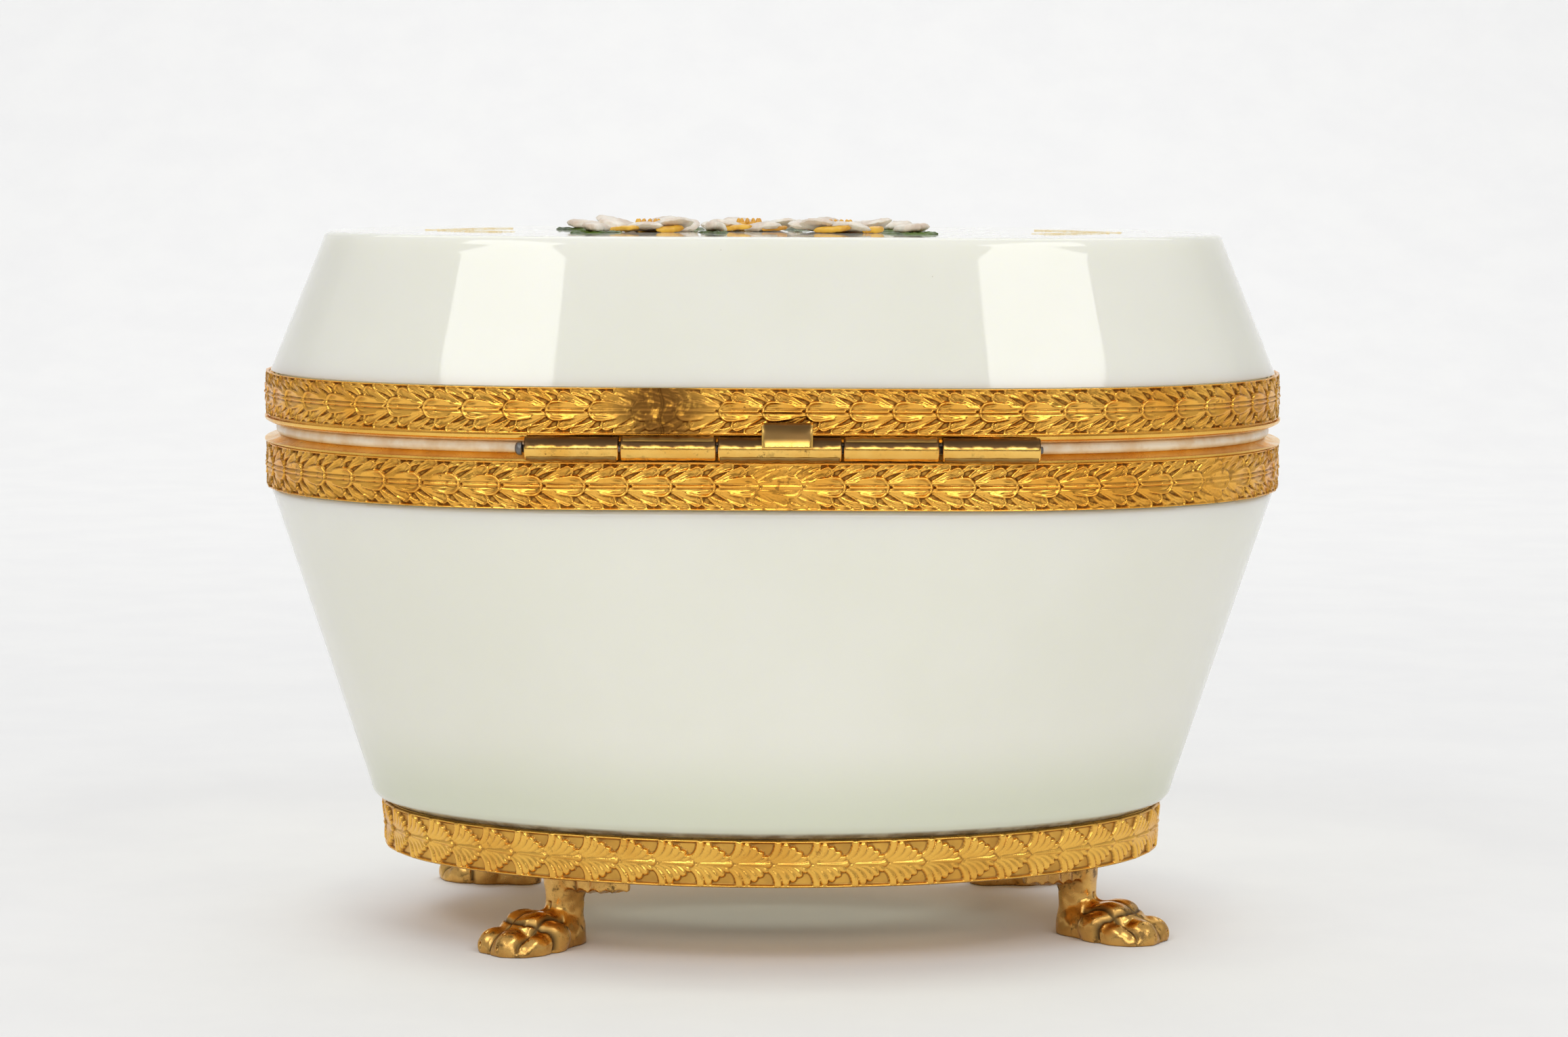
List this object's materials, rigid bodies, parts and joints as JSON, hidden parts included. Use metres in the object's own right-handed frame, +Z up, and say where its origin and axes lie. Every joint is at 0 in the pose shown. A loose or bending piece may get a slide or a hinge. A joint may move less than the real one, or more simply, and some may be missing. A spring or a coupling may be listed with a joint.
{
  "type": "vanity trinket box",
  "caption": "Oval opaline glass trinket casket with gilt brass leaf-embossed rims, a hinged sloping lid with raised enamel flowers, and cast paw feet.",
  "frame": {"origin": "on the surface the box stands on, under the middle of its bounding box", "axes": "+Z up, front with the thumb tab at -Y, hinge and back at +Y, +X to the right seen from the front"},
  "size_m": [0.1466, 0.0982, 0.1033],
  "materials": {
    "opaline_glass": "milky pale green-white cased glass, polished",
    "gilt_brass": "burnished gilding with brown tarnish in the corners",
    "gallery_brass": "embossed gilt sheet, bright on the high points",
    "base_gallery_brass": "embossed gilt sheet, coppery and matt at the ends",
    "foot_bronze": "cast and gilded, darkened, black in the grooves",
    "hinge_brass": "drawn tube, rubbed smooth",
    "pin_steel": "dark drawn wire",
    "plaster": "yellowed setting plaster",
    "white_enamel": "thick rough off-white enamel",
    "yellow_enamel": "golden yellow enamel",
    "green_enamel": "dark green enamel",
    "gold_paint": "thin fired gold and cream paint"
  },
  "bodies": {
    "body": {"body_glass": "opaline_glass", "body_rim_frame": "gilt_brass", "body_rim_gallery": "gallery_brass", "body_rim_cement": "plaster", "base_ring_frame": "gilt_brass", "base_gallery": "base_gallery_brass", "base_cement": "plaster", "foot_back_left": "foot_bronze", "foot_back_right": "foot_bronze", "foot_front_left": "foot_bronze", "foot_front_right": "foot_bronze", "hinge_knuckle_1": "hinge_brass", "hinge_knuckle_3": "hinge_brass", "hinge_knuckle_5": "hinge_brass", "hinge_pin": "pin_steel"},
    "lid": {"lid_glass": "opaline_glass", "lid_rim_frame": "gilt_brass", "lid_rim_gallery": "gallery_brass", "lid_rim_cement": "plaster", "thumb_tab": "gilt_brass", "lid_stop_lug": "hinge_brass", "hinge_knuckle_2": "hinge_brass", "hinge_knuckle_4": "hinge_brass", "flower_left": "white_enamel", "flower_left_cup": "yellow_enamel", "flower_middle": "white_enamel", "flower_middle_cup": "yellow_enamel", "flower_right": "white_enamel", "flower_right_cup": "yellow_enamel", "leaf_1": "green_enamel", "leaf_2": "green_enamel", "leaf_3": "green_enamel", "leaf_4": "green_enamel", "leaf_5": "green_enamel", "leaf_6": "green_enamel", "leaf_7": "green_enamel", "enamel_spray_left": "gold_paint", "enamel_spray_right": "gold_paint"}
  },
  "joints": [
    {"name": "lid_hinge", "type": "hinge", "parent": "body", "child": "lid", "pos_m": [0, 0.0467, 0.0726], "axis": [-1, 0, 0], "range_deg": [0, 96]}
  ]
}
